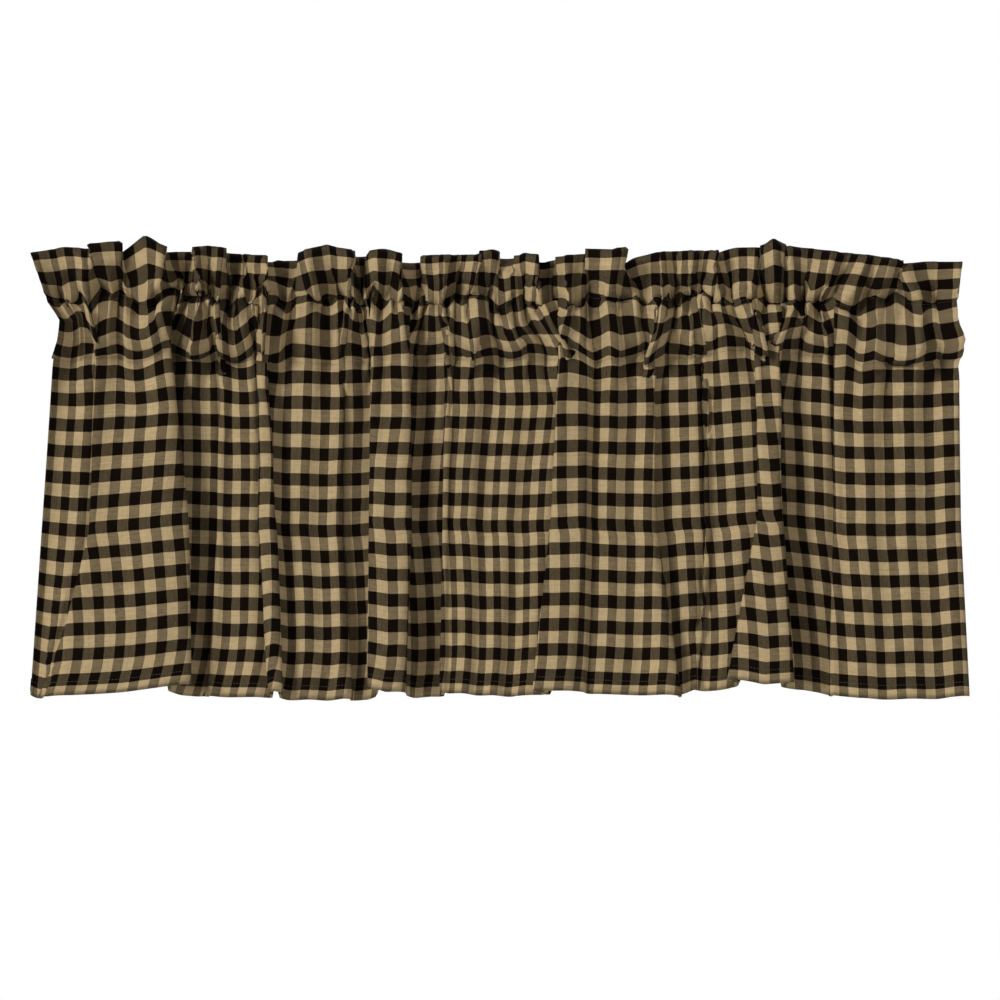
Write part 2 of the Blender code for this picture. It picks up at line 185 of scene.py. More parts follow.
# The pocket from left to right: the heights of its upper and its lower seam, and how far its front
# puffs out there, from 0 where it lies straight over the rod.
POCKET_COLUMNS = ("place", "upper", "lower", "puff")
POCKET = (
    (-0.394, -0.0460, -0.0963, 0.4),
    (-0.360, -0.0430, -0.0968, 0.6),
    (-0.331, -0.0440, -0.0953, 0.8),
    (-0.313, -0.0465, -0.0943, 0.8),
    (-0.283, -0.0415, -0.0933, 0.6),
    (-0.267, -0.0450, -0.0913, 0.8),
    (-0.243, -0.0475, -0.0938, 0.7),
    (-0.223, -0.0470, -0.0943, 1.0),
    (-0.205, -0.0405, -0.0948, 1.2),
    (-0.181, -0.0460, -0.0993, 0.4),
    (-0.150, -0.0450, -0.1008, 0.0),
    (-0.128, -0.0440, -0.0998, 0.0),
    (-0.097, -0.0440, -0.0963, 0.2),
    (-0.064, -0.0465, -0.0963, 0.0),
    (-0.040, -0.0425, -0.0943, 0.8),
    (-0.013, -0.0460, -0.0963, 1.0),
    (0.006, -0.0475, -0.0968, 0.8),
    (0.040, -0.0460, -0.0963, 0.4),
    (0.075, -0.0425, -0.0928, 0.9),
    (0.102, -0.0455, -0.0943, 0.6),
    (0.119, -0.0425, -0.0943, 0.8),
    (0.146, -0.0480, -0.0948, 0.9),
    (0.177, -0.0450, -0.0923, 0.5),
    (0.208, -0.0440, -0.0883, 0.7),
    (0.238, -0.0420, -0.0868, 1.1),
    (0.256, -0.0480, -0.0893, 0.5),
    (0.283, -0.0455, -0.0943, 0.7),
    (0.309, -0.0465, -0.0983, 0.6),
    (0.327, -0.0495, -0.0993, 0.6),
    (0.347, -0.0475, -0.0993, 1.1),
    (0.375, -0.0495, -0.0993, 1.2),
    (0.402, -0.0480, -0.0973, 0.9),
)

# The lumps that the gathered pocket is pushed into, from left to right: where each one's middle lies
# and its half width, how far out it stands, how far its top rises over the upper seam and its foot
# hangs over the lower one, and how far its checks climb from left to right, or below 0 drop.
LUMP_COLUMNS = ("place", "half_width", "out", "crown", "sag", "tilt")
LUMPS = (
    (-0.377, 0.018, 0.0034, 0.000, 0.003, 0.002),
    (-0.347, 0.018, 0.0069, 0.002, 0.003, 0.001),
    (-0.311, 0.027, 0.0069, 0.001, 0.006, 0.006),
    (-0.282, 0.011, 0.0046, 0.002, 0.002, -0.001),
    (-0.265, 0.011, 0.0092, 0.001, 0.012, 0.000),
    (-0.241, 0.020, 0.0092, 0.000, 0.012, -0.005),
    (-0.204, 0.027, 0.0115, 0.006, 0.007, -0.005),
    (-0.168, 0.018, 0.0023, 0.002, 0.000, 0.000),
    (-0.096, 0.022, 0.0034, 0.002, 0.001, 0.000),
    (-0.044, 0.013, 0.0057, 0.001, 0.006, -0.002),
    (-0.024, 0.015, 0.0080, 0.003, 0.009, 0.003),
    (0.002, 0.018, 0.0069, 0.001, 0.005, 0.001),
    (0.035, 0.022, 0.0034, 0.003, 0.002, 0.000),
    (0.072, 0.024, 0.0092, 0.002, 0.004, -0.006),
    (0.108, 0.020, 0.0069, 0.003, 0.007, 0.002),
    (0.137, 0.019, 0.0092, 0.000, 0.010, -0.005),
    (0.172, 0.022, 0.0034, 0.002, 0.001, 0.001),
    (0.225, 0.022, 0.0103, 0.001, 0.011, 0.006),
    (0.252, 0.011, 0.0046, 0.002, 0.003, -0.002),
    (0.283, 0.022, 0.0046, 0.003, 0.003, 0.000),
    (0.317, 0.016, 0.0046, 0.001, 0.004, -0.003),
    (0.353, 0.031, 0.0115, 0.006, 0.011, 0.000),
    (0.392, 0.016, 0.0080, 0.001, 0.007, -0.001),
)
TILT_SHAPE = 3.5
TILT_FADE = 0.09

# Where the two side hems run: at the top edge, the upper seam, round the rod and at the lower seam.
SIDE_COLUMNS = ("height", "left", "right")
SIDES = (
    (0.000, -0.415, 0.411),
    (-0.046, -0.398, 0.402),
    (-0.064, -0.3865, 0.402),
    (-0.080, -0.389, 0.408),
    (-0.0883, -0.392, 0.407),
    (-0.096, -0.394, 0.406),
)
SIDE_REACH = 0.05


def smoothstep(value):
    """0 below 0, 1 above 1, and a soft step between them."""
    held = np.clip(value, 0.0, 1.0)
    return held * held * (3.0 - 2.0 * held)


def rounded_line(corners):
    """A smooth open curve that follows a line of corners, a cubic B-spline, as an array of points."""
    padded = np.vstack([corners[0], corners[0], corners, corners[-1], corners[-1]])
    spans = len(padded) - 3
    place = np.linspace(0.0, spans - JUST_INSIDE, CURVE_SAMPLES)
    start = place.astype(int)
    along = (place - start)[:, None]
    weights = (
        (1.0 - along) ** 3,
        3.0 * along**3 - 6.0 * along**2 + 4.0,
        -3.0 * along**3 + 3.0 * along**2 + 3.0 * along + 1.0,
        along**3,
    )
    return sum(weight * padded[start + step] for step, weight in enumerate(weights)) / 6.0


def folded_line(left_edge, panels):
    """A row of panels seen from above, doubled back at their edges, and where those edges lie on it.

    Each panel has its right edge, its depth, its tuck, its number of waves and their depth.
    """
    corners = [(left_edge, panels[0][1])]
    marks = []
    start = left_edge
    for number, (edge, depth, tuck, waves, wave_depth) in enumerate(panels):
        width = edge - start
        halves = max(2 * waves, 1)
        for half in range(halves):
            swing = wave_depth if half % 2 else -wave_depth
            corners.append((start + (half + 0.5) / halves * width, depth + swing))
        if number + 1 == len(panels):
            corners.append((edge, depth))
            break
        following = panels[number + 1][1]
        step = depth - following
        way = 1.0 if step > 0.0 else -1.0
        near, far = (depth, following) if step > 0.0 else (following, depth)
        rounding = min(EDGE_ROUNDING, BEND_IN_PANEL * width)
        bend = [
            (edge - way * rounding, near),
            (edge + way * 0.5 * rounding, near - BEND_START * abs(step)),
            (edge - way * 0.5 * tuck, 0.5 * (near + far)),
            (edge - way * (tuck + 0.5 * rounding), far + BEND_START * abs(step)),
            (edge - way * (tuck - rounding), far),
        ]
        corners.extend(bend if step > 0.0 else bend[::-1])
        marks.append(len(corners) - len(bend) // 2)
        start = edge
    line = rounded_line(np.array(corners))
    spans = len(corners) + 1
    return line, [0, *(mark * len(line) // spans for mark in marks), len(line) - 1]


def lengths_along(line):
    """The length of a line of points from its start to each of them."""
    steps = np.linalg.norm(np.diff(line, axis=0), axis=1)
    return np.concatenate([[0.0], np.cumsum(steps)])


def laid_along(line, marks, shares, places):
    """Points of a line at places of the cloth, where each stretch between marks has its own share."""
    lengths = lengths_along(line)
    cloth = np.interp(lengths, lengths[marks], shares)
    return np.stack([np.interp(places, cloth, line[:, axis]) for axis in (0, 1)])


def uneven(count, seed):
    """A smooth random wander along the width of the cloth, of about 1, with so many turns."""
    heights = np.random.default_rng(seed).standard_normal(count + 2)
    place = np.linspace(0.0, count, COLUMNS + 1)
    start = np.minimum(place.astype(int), count - 1)
    return heights[start] + (heights[start + 1] - heights[start]) * smoothstep(place - start)


def random_waves(count, depth, side_swing, seed):
    """Waves across the cloth, each with its own random width, and the wide ones are deeper."""
    chance = np.random.default_rng(seed)
    widths = np.exp(WIDTH_SPREAD * chance.standard_normal(count)).clip(*WIDTH_RANGE)
    sizes = np.exp(DEPTH_SPREAD * chance.standard_normal(count))
    sizes = (widths / widths.mean()) ** DEPTH_BY_WIDTH * sizes
    ends = np.concatenate([[0.0], np.cumsum(widths)]) / widths.sum()
    turns = np.interp(places, ends, np.arange(count + 1))
    size = np.interp(places, 0.5 * (ends[1:] + ends[:-1]), sizes).clip(*DEPTH_RANGE)
    crest = (0.5 + 0.5 * np.cos(2.0 * math.pi * turns)) ** GATHER_SHARPNESS
    out = size * (2.0 * crest - 1.0) * depth
    return out, size * -np.sin(4.0 * math.pi * turns) * side_swing


# The fine gathers stand close together at the seams, and away from them they merge into groups.
places = np.linspace(0.0, 1.0, COLUMNS + 1)
gather_out, gather_aside = random_waves(GATHERS, GATHER_DEPTH, GATHER_SIDE_SWING, GATHER_SEED)
group_out, group_aside = random_waves(GROUPS, GROUP_DEPTH, GROUP_SIDE_SWING, GROUP_SEED)


def fold_line(down, opened):
    """The broad folds of the cloth at a height, and where their edges lie on that line."""
    panels = []
    left_edge = np.interp(down, FOLD_LEVELS, LEFT_EDGE)
    start = left_edge
    for row in FOLDS:
        fold = dict(zip(FOLD_COLUMNS, row))
        edge = np.interp(down, FOLD_LEVELS, (fold["edge_top"], fold["edge_middle"], fold["edge_hem"]))
        top = DEPTH_AT_TOP * fold["depth_middle"]
        depth = np.interp(down, FOLD_LEVELS, (top, fold["depth_middle"], fold["depth_hem"]))
        plain_tuck = np.interp(down, FOLD_LEVELS[1:], (fold["tuck_middle"], fold["tuck_hem"]))
        tuck = plain_tuck * (1.0 + TUCK_ADDED_ABOVE * math.exp(-down / TUCK_FADE))
        tuck = min(tuck, max(plain_tuck, WIDEST_TUCK * (edge - start)))
        wave_depth = opened * fold["wave_depth"]
        panels.append((edge, opened * depth, opened * tuck, fold["waves"], wave_depth))
        start = edge
    return folded_line(left_edge, panels)


def fold_shares(down):
    """The shares of the cloth's width that lie left of each fold edge at a height."""
    line, marks = fold_line(max(down, FOLDS_OPEN_AT), 1.0)
    fullness = dict(zip(FOLD_COLUMNS, zip(*FOLDS)))["fullness"]
    panel_cloth = np.diff(lengths_along(line)[marks]) * fullness
    return np.concatenate([[0.0], np.cumsum(panel_cloth)]) / panel_cloth.sum()


def calm_near_edges(shares):
    """1 over the open cloth and less near the fold edges, where there is no room for gathers."""
    off = np.abs(places[:, None] - shares[None, 1:-1]).min(axis=1)
    return 1.0 - CALM_AT_EDGES * np.exp(-((off / CALM_REACH) ** 2))


def hem_rise(shares):
    """How much higher than the rest the hem hangs along the cloth."""
    table = dict(zip(FOLD_COLUMNS, zip(*FOLDS)))
    known = np.sort(np.concatenate([shares, 0.5 * (shares[1:] + shares[:-1])]))
    heights = [0.0]
    for rise, edge_rise in zip(table["rise"], table["edge_rise"]):
        heights.extend((rise, edge_rise))
    return np.interp(places, known, heights)


seam_edges = [SEAM_LEFT_X, *(row[0] for row in FOLDS[:-1]), SEAM_RIGHT_X]
seam_side = np.interp(places, fold_shares(0.0), seam_edges)

pocket = dict(zip(POCKET_COLUMNS, zip(*POCKET)))
upper_seam = np.interp(seam_side, pocket["place"], pocket["upper"])
upper_seam = upper_seam + SEAM_WANDER * uneven(SEAM_TURNS, SEAM_SEED)
lower_seam = np.interp(seam_side, pocket["place"], pocket["lower"])
puff = np.interp(seam_side, pocket["place"], pocket["puff"])
puff = puff * (1.0 + PUFF_UNEVENNESS * uneven(PUFF_TURNS, PUFF_SEED)).clip(*PUFF_RANGE)
sides = dict(zip(SIDE_COLUMNS, zip(*SIDES)))

# At the upper seam the ridges of the gathers bulge over the thread, some up and some down.
ridge = np.clip(0.5 + 0.5 * gather_out / GATHER_DEPTH, 0.0, 1.0)
knuckle = KNUCKLE_LIFT * uneven(KNUCKLE_TURNS, KNUCKLE_SEED) * gather_out / GATHER_DEPTH

lump_out, lump_crown, lump_sag, lump_tilt = np.zeros((4, COLUMNS + 1))
for row in LUMPS:
    lump = dict(zip(LUMP_COLUMNS, row))
    off = np.clip((seam_side - lump["place"]) / lump["half_width"], -1.0, 1.0)
    dome = 0.5 + 0.5 * np.cos(math.pi * off)
    lump_out += lump["out"] * dome
    lump_crown += lump["crown"] * dome
    lump_sag += lump["sag"] * dome
    lump_tilt += lump["tilt"] * TILT_SHAPE * off * (1.0 - off**2) ** 2


def with_side_hems(side, height):
    """The side places of a row, drawn out or in to the two side hems at that height."""
    for end, name, from_end in ((0, "left", places), (-1, "right", 1.0 - places)):
        hem = np.interp(-height[end], [-level for level in sides["height"]], sides[name])
        side = side + (hem - side[end]) * (1.0 - smoothstep(from_end / SIDE_REACH))
    return side


def skirt_row(down):
    """A row of the skirt: side place, depth, and how much higher its cloth rides than plain cloth."""
    opened = FOLDS_OPEN_IN_SEAM + (1.0 - FOLDS_OPEN_IN_SEAM) * smoothstep(down / FOLDS_OPEN_AT)
    shares = fold_shares(down)
    folded = laid_along(*fold_line(down, opened), shares, places)
    gathers = GATHER_SHARE_BELOW * math.exp(-down / GATHER_FADE) * calm_near_edges(shares)
    groups = GROUP_SHARE_BELOW * math.exp(-down / GROUP_FADE) * calm_near_edges(shares)
    side = folded[0] + gather_aside * gathers + group_aside * groups
    ride = (RIDE_OF_FRONT_FOLDS * folded[1] + hem_rise(shares)) * down
    ride = ride + lump_tilt * math.exp(-down / TILT_FADE)
    return side, folded[1] + gather_out * gathers + group_out * groups, ride


def seam_sink(away):
    """How far back the upper seam draws the cloth between its ridges, at a distance from it."""
    return SEAM_SINK * (1.0 - ridge) * math.exp(-away / SEAM_SINK_REACH)


def heading_row(up):
    """Side place, depth and height of a row of the heading, from 0 at its seam to 1 at the top."""
    table = {name: np.array(column) for name, column in zip(RUFFLE_COLUMNS, zip(*RUFFLES))}
    opened = smoothstep(up / RUFFLES_OPEN_AT)
    panels = [
        (edge, opened * depth, opened * tuck, 0, 0.0)
        for edge, depth, tuck in zip(table["edge"], table["depth"], table["tuck"])
    ]
    line, marks = folded_line(HEADING_LEFT_EDGE, panels)
    edges = np.array((HEADING_LEFT_EDGE, *table["edge"]))
    flared = np.clip(1.0 - (edges - HEADING_LEFT_EDGE) / FLARE_REACH, 0.0, 1.0)
    shares = np.interp(edges + (SEAM_LEFT_X - HEADING_LEFT_EDGE) * flared, seam_side, places)
    shares[-1] = 1.0
    ruffled = laid_along(line, marks, shares, places)
    gathers = math.exp(-up * HEADING_LENGTH / GATHER_REACH)
    groups = GROUP_SHARE_IN_SEAM + GROUP_SHARE_IN_HEADING * math.sin(math.pi * up**0.5)
    groups = groups + GROUP_SHARE_AT_TOP * up
    bends = np.hypot(table["tuck"][:-1], np.diff(table["depth"])) / FLAT_WIDTH
    widths = np.diff(shares)
    bends = np.minimum(0.5 * bends, WIDEST_BEND * np.minimum(widths[1:], widths[:-1]))
    bends = np.concatenate([[0.0], bends, [0.0]])
    middles = 0.5 * (shares[1:] + shares[:-1])
    known = np.stack([shares[:-1] + bends[:-1], middles, shares[1:] - bends[1:]], axis=1)
    known_tops = np.stack([table["top_left"], table["top_middle"], table["top_right"]], axis=1)
    tops = np.interp(places, known.reshape(-1), known_tops.reshape(-1))
    height = upper_seam + (tops - upper_seam) * up + knuckle * gathers
    side = ruffled[0] * up + seam_side * (1.0 - up) + gather_aside * gathers + group_aside * groups
    depth = ruffled[1] + gather_out * gathers + group_out * groups - seam_sink(up * HEADING_LENGTH)
    return with_side_hems(side, height), depth, height


# How a puff rounds out between the seams: its depth as a share of its height, its widest place, which
# is above the middle where this is over 1, and how full it is. A crown's top and a sag's foot have
# such a place too.
PUFF_HEIGHT_SAMPLES = 201
TYPICAL_PUFF = 0.35
PUFF_PLACE = 1.25
PUFF_FULLNESS = 0.85
CROWN_PLACE = 2.2
SAG_PLACE = 0.6
POCKET_OPENS_OVER = 0.9


def puffed_out(up):
    """How far out a puff stands at a height in the pocket, from 0 at its seams to 1."""
    return np.sin(math.pi * up**PUFF_PLACE) ** PUFF_FULLNESS


# Heights in the pocket that a typical puff's own cloth is laid out to in equal steps.
puff_heights = np.linspace(0.0, 1.0, PUFF_HEIGHT_SAMPLES)
typical_puff = np.stack([puff_heights, TYPICAL_PUFF * puffed_out(puff_heights)], axis=1)
puff_lengths = lengths_along(typical_puff)


def pocket_row(share, facing):
    """A row of the pocket's front layer, or where facing is -1 of its back layer."""
    up = float(np.interp(share * puff_lengths[-1], puff_lengths, puff_heights))
    round_out = float(puffed_out(up))
    opened = FOLDS_OPEN_IN_SEAM * smoothstep((1.0 - up) / POCKET_OPENS_OVER)
    shares = fold_shares(0.0)
    folded = laid_along(*fold_line(0.0, opened), shares, places)
    height = lower_seam + (upper_seam - lower_seam) * up
    if facing > 0.0:
        clear = ROD_CLEARANCE + PUFF_DEPTH * puff + lump_out
        height = height - PUFF_SAG * puff * round_out
        height = height + lump_tilt * math.sin(0.5 * math.pi * (1.0 - up))
        height = height + lump_crown * math.sin(math.pi * up**CROWN_PLACE)
        height = height - lump_sag * math.sin(math.pi * up**SAG_PLACE)
    else:
        clear = -ROD_CLEARANCE - BACK_SLACK
    away = (1.0 - up) * POCKET_LENGTH
    near_seam = math.exp(-away / GATHER_REACH)
    height = height + knuckle * near_seam
    calm = 1.0 + (calm_near_edges(shares) - 1.0) * opened / FOLDS_OPEN_IN_SEAM
    gathers = (GATHER_SHARE_BELOW + (1.0 - GATHER_SHARE_BELOW) * near_seam) * calm
    groups = (GROUP_SHARE_BELOW + (GROUP_SHARE_IN_SEAM - GROUP_SHARE_BELOW) * near_seam) * calm
    depth = folded[1] * (1.0 - round_out) + clear * round_out
    depth = depth + gather_out * gathers + group_out * groups - seam_sink(away)
    side = with_side_hems(folded[0] + gather_aside * gathers + group_aside * groups, height)
    return side, depth, height


def evened(values):
    """Values along the cloth, each the weighted mean of its neighbours, as shear evens them out."""
    reach = np.arange(-EVENING_COLUMNS, EVENING_COLUMNS + 1)
    weights = np.cos(0.5 * math.pi * reach / (EVENING_COLUMNS + 1)) ** 2
    padded = np.pad(values, EVENING_COLUMNS, mode="edge")
    return np.convolve(padded, weights / weights.sum(), mode="valid")


def skirt_rows():
    """The rows of the skirt from the hem up, each a row's real length of cloth below the next."""
    side, depth, ride = skirt_row(0.0)
    height = lower_seam
    rows = [(side, depth, height + ride)]
    for step in range(1, SKIRT_STEPS + 1):
        next_side, next_depth, ride = skirt_row(step / SKIRT_STEPS)
        slant = np.hypot(next_side - side, next_depth - depth)
        length = SKIRT_LENGTH / SKIRT_STEPS
        drop = np.sqrt(np.maximum(length**2 - slant**2, (LEAST_DROP * length) ** 2))
        height = height - evened(drop)
        side, depth = next_side, next_depth
        rows.append((side, depth, height + ride))
    return rows[::-1]


# How firmly the cloth is kept to its place as it settles, from 1 where it is sewn and gathered.
HELD_AT_SEAM = 1.0
HELD_AT_POCKET_FOOT = 0.75
HELD_IN_SKIRT = 0.30
HELD_AT_SIDE_HEMS = 0.80
HELD_IN_HEADING = 0.55
HELD_IN_POCKET = 0.50
CORNER_REACH = 0.012

rows = []
run = []
held = []
beside = np.clip(1.0 - np.minimum(places, 1.0 - places) / CORNER_REACH, 0.0, 1.0)


def add_row(points, along, hold):
    """Add a row of the cloth, how far along the cut length it lies and how firmly it is held."""
    rows.append(np.stack([points[0], -points[1], points[2]], axis=1))
    run.append(along)
    held.append(hold + (max(hold, HELD_AT_SIDE_HEMS) - hold) * beside)


for step, points in enumerate(skirt_rows()):
    hold = HELD_AT_POCKET_FOOT if step == SKIRT_STEPS else HELD_IN_SKIRT
    add_row(points, SKIRT_LENGTH * step / SKIRT_STEPS, hold)
for step in range(1, POCKET_STEPS):
    up = step / POCKET_STEPS
    add_row(pocket_row(up, 1.0), SKIRT_LENGTH + POCKET_LENGTH * up, HELD_IN_POCKET)
HEADING_STARTS = SKIRT_LENGTH + POCKET_LENGTH
TOP_EDGE_RUN = HEADING_STARTS + HEADING_LENGTH
for step in range(HEADING_STEPS + 1):
    up = step / HEADING_STEPS
    side, depth, height = heading_row(up)
    depth = depth + (LAYER_GAP if step < HEADING_STEPS else 0.0)
    hold = HELD_IN_HEADING if step else HELD_AT_SEAM
    add_row((side, depth, height), HEADING_STARTS + HEADING_LENGTH * up, hold)
for step in range(HEADING_STEPS - 1, -1, -1):
    up = step / HEADING_STEPS
    side, depth, height = heading_row(up)
    along = TOP_EDGE_RUN + HEADING_LENGTH * (1.0 - up)
    add_row((side, depth - LAYER_GAP, height), along, HELD_IN_HEADING if step else HELD_AT_SEAM)
for step in range(POCKET_STEPS - 1, -1, -1):
    up = step / POCKET_STEPS
    side, depth, height = pocket_row(up, -1.0)
    height = height + lump_tilt * (1.0 - up) ** 2
    depth = depth - (0.0 if step else 2.0 * LAYER_GAP)
    along = TOP_EDGE_RUN + HEADING_LENGTH + POCKET_LENGTH * (1.0 - up)
    add_row((side, depth, height), along, HELD_IN_POCKET if step else HELD_AT_POCKET_FOOT)
start_shape = np.array(rows)
run = np.array(run)


def grid_mesh(name, points, cloth_places, cloth_run):
    """A grid of cloth at the given points, with a UV map in metres of flat cloth."""
    count_up, count_along = points.shape[:2]
    grid = bmesh.new()
    bmesh.ops.create_grid(grid, x_segments=count_along - 1, y_segments=count_up - 1, size=0.5)
    mesh = bpy.data.meshes.new(name)
    grid.to_mesh(mesh)
    grid.free()
    mesh.vertices.foreach_set("co", points.reshape(-1).astype(np.float32))
    corner_of = np.empty(len(mesh.loops), int)
    mesh.loops.foreach_get("vertex_index", corner_of)
    flat = np.stack(np.meshgrid(FLAT_WIDTH * cloth_places, cloth_run), axis=-1).reshape(-1, 2)
    layer = mesh.uv_layers.get("UVMap") or mesh.uv_layers.new(name="UVMap")
    layer.data.foreach_set("uv", flat[corner_of].reshape(-1).astype(np.float32))
    mesh.update()
    return mesh


# The cloth settles under its own weight: its rest shape is the flat cut cloth, so the width that the
# gathers and folds don't take up crumples as it does on a rod.
SETTLING_FRAMES = 13
SETTLING_QUALITY = 5
CLOTH_STIFFNESS = 15.0
SHEAR_STIFFNESS = 5.0
BENDING_STIFFNESS = 0.5
AIR_DAMPING = 2.0
POINT_MASS = 0.3
LEAST_SELF_DISTANCE = 0.0015

valance = bpy.data.objects.new("valance_cloth", grid_mesh("valance_cloth", start_shape, places, run))
scene.collection.objects.link(valance)
settled = start_shape
valance.shape_key_add(name="hung")
cut = valance.shape_key_add(name="cut_flat")
flat_width, flat_run = np.meshgrid(FLAT_WIDTH * places, run)
flat_points = np.stack([flat_width, np.zeros_like(flat_width), flat_run], axis=-1)
cut.data.foreach_set("co", flat_points.reshape(-1).astype(np.float32))
cut.value = 0.0
group = valance.vertex_groups.new(name="held")
for vertex, hold in enumerate(np.array(held).reshape(-1)):
    if hold > 0.0:
        group.add([vertex], float(hold), "REPLACE")
modifier = valance.modifiers.new("settle", "CLOTH")
cotton = modifier.settings
cotton.quality = SETTLING_QUALITY
cotton.mass = POINT_MASS
cotton.tension_stiffness = CLOTH_STIFFNESS
cotton.compression_stiffness = CLOTH_STIFFNESS
cotton.shear_stiffness = SHEAR_STIFFNESS
cotton.bending_stiffness = BENDING_STIFFNESS
cotton.air_damping = AIR_DAMPING
cotton.vertex_group_mass = "held"
cotton.rest_shape_key = cut
touching = modifier.collision_settings
touching.use_collision = False
touching.use_self_collision = True
touching.self_distance_min = LEAST_SELF_DISTANCE
scene.frame_start = 1
scene.frame_end = SETTLING_FRAMES + 1
modifier.point_cache.frame_start = 1
modifier.point_cache.frame_end = SETTLING_FRAMES + 1
for moment in range(1, SETTLING_FRAMES + 2):
    scene.frame_set(moment)
moved = valance.evaluated_get(bpy.context.evaluated_depsgraph_get()).to_mesh()
flat_list = np.empty(len(moved.vertices) * 3)
moved.vertices.foreach_get("co", flat_list)
settled = flat_list.reshape(start_shape.shape)
valance.modifiers.remove(modifier)
valance.shape_key_clear()
valance.vertex_groups.clear()
scene.frame_set(1)

# The finished cloth has finer columns on smooth curves through the settled ones, and its hem: the
# lowest 15 mm of the cut cloth is turned up behind the skirt.
FINE_COLUMNS = 480
HEM_TURN = 0.015
HEM_TURN_STEPS = 3
HEM_GAP = 0.0008
CLOTH_THICKNESS = 0.00045
FOOT_STEPS = 7
PUCKER_END = 0.015

# The thread of the upper seam holds puckers that are too fine for the settling, small ones along it
# and wider ones over the whole pocket: how many turns they have along the cloth, how far out and how
# far up they go, how far above the seam their middle lies and how far they reach from there, over
# what height of cloth they change, and their chance number.
PUCKER_COLUMNS = ("turns", "depth", "lift", "middle", "reach", "change", "seed")
PUCKERS = (
    (120, 0.0034, 0.0034, 0.000, 0.017, 0.007, 21),
    (48, 0.0030, 0.0038, -0.020, 0.032, 0.016, 31),
)


def along_smooth_curves(points, count):
    """The same rows of points with count steps each, on Catmull-Rom curves through the old ones."""
    place = np.linspace(0.0, points.shape[1] - 1.0, count + 1)
    start = np.minimum(place.astype(int), points.shape[1] - 2)
    along = (place - start)[None, :, None]
    first, last = 2.0 * points[:, :1] - points[:, 1:2], 2.0 * points[:, -1:] - points[:, -2:-1]
    padded = np.concatenate([first, points, last], axis=1)
    before, here, there, after = (padded[:, start + shift] for shift in range(4))
    return 0.5 * (
        2.0 * here
        + (there - before) * along
        + (2.0 * before - 5.0 * here + 4.0 * there - after) * along**2
        + (3.0 * (here - there) + after - before) * along**3
    )


def facing_front(points):
    """Unit normals of a grid of points, on the side that faces the room where the cloth is flat."""
    normals = np.cross(np.gradient(points, axis=1), np.gradient(points, axis=0))
    return normals / np.linalg.norm(normals, axis=2, keepdims=True)


fine = along_smooth_curves(settled, FINE_COLUMNS)
fine_places = np.linspace(0.0, 1.0, FINE_COLUMNS + 1)

inside = np.clip(np.minimum(fine_places, 1.0 - fine_places) / PUCKER_END, 0.0, 1.0)
for row_of_sizes in PUCKERS:
    pucker = dict(zip(PUCKER_COLUMNS, row_of_sizes))
    out_here, out_near, lift_here, lift_near = (
        np.interp(fine_places, places, uneven(pucker["turns"], pucker["seed"] + which))
        for which in range(4)
    )
    for row, along in enumerate(run):
        on_front = along < TOP_EDGE_RUN
        up = along - HEADING_STARTS if on_front else TOP_EDGE_RUN + HEADING_LENGTH - along
        share = inside * math.exp(-(((up - pucker["middle"]) / pucker["reach"]) ** 2))
        here, near = math.cos(up / pucker["change"]), math.sin(up / pucker["change"])
        fine[row, :, 1] -= pucker["depth"] * share * (out_here * here + out_near * near)
        fine[row, :, 2] += pucker["lift"] * share * (lift_here * here + lift_near * near)
normals = facing_front(fine)
foot = fine[SKIRT_STEPS] - 2.0 * LAYER_GAP * normals[SKIRT_STEPS]
to_foot = foot - fine[-1]
for step in range(FOOT_STEPS):
    fine[-1 - step] += to_foot * smoothstep(1.0 - step / FOOT_STEPS)
normals = facing_front(fine)
rise = np.linspace(HEM_TURN, 0.0, HEM_TURN_STEPS + 1)[:-1]
row_spacing = SKIRT_LENGTH / SKIRT_STEPS
turned = []
for height in rise:
    place = height / row_spacing
    row = int(place)
    share = place - row
    in_front = fine[row] * (1.0 - share) + fine[row + 1] * share
    turned.append(in_front - HEM_GAP * normals[row])
whole = np.concatenate([np.array(turned), fine])
whole_run = np.concatenate([-rise, run])
valance.data = grid_mesh("valance_cloth", whole, fine_places, whole_run)
valance.data.shade_smooth()
thickness = valance.modifiers.new("thickness", "SOLIDIFY")
thickness.thickness = CLOTH_THICKNESS
thickness.offset = 0.0
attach(valance, "root")
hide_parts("valance")


# ---------------------------------------------------------------------------------------------
# The cotton: a plain weave of thick and thin yarns, dyed black or tan before weaving. Bands of
# both colours cross, so half the squares mix the two, and the crosswise yarns show a little more.
# ---------------------------------------------------------------------------------------------
REPEAT_ACROSS = 0.0196
REPEAT_ALONG = 0.0228
BLACK_ROW_MIDDLE = 0.0134
FIRST_BLACK_COLUMN = 0.004
BLACK_SHARE = 0.50
WARP_YARN = 0.00056
WEFT_YARN = 0.00062
BLACK = (0.0050, 0.0024, 0.0010, 1.0)
TAN = (0.462, 0.343, 0.184, 1.0)
MIXED_LOSS_CROSSWISE = 0.36
MIXED_LOSS_LENGTHWISE = 0.62
COTTON_ROUGHNESS = 0.92
COTTON_SPECULAR = 0.05
FUZZ = 0.02
FUZZ_ROUGHNESS = 0.5

# How far the yarns wander from straight, how uneven they are, and how coarse each unevenness is.
WANDER_SCALE = 55.0
WANDER_DETAIL = 2.0
WANDER_ACROSS = 0.0016
WANDER_ALONG = -0.0012
SLUBS_PER_METRE = 160.0
WARP_SLUB_STEP = 3.7
WEFT_SLUB_STEP = 5.3
STREAKS_PER_METRE = 14.0
STREAK_STEP = 0.45
WARP_WIDTH = 0.42
LEAST_VALUE = 0.35
SLUB_VALUE = 0.70
STREAK_VALUE = 0.60
FULL_SATURATION = 1.15
SLUB_SATURATION = -0.30

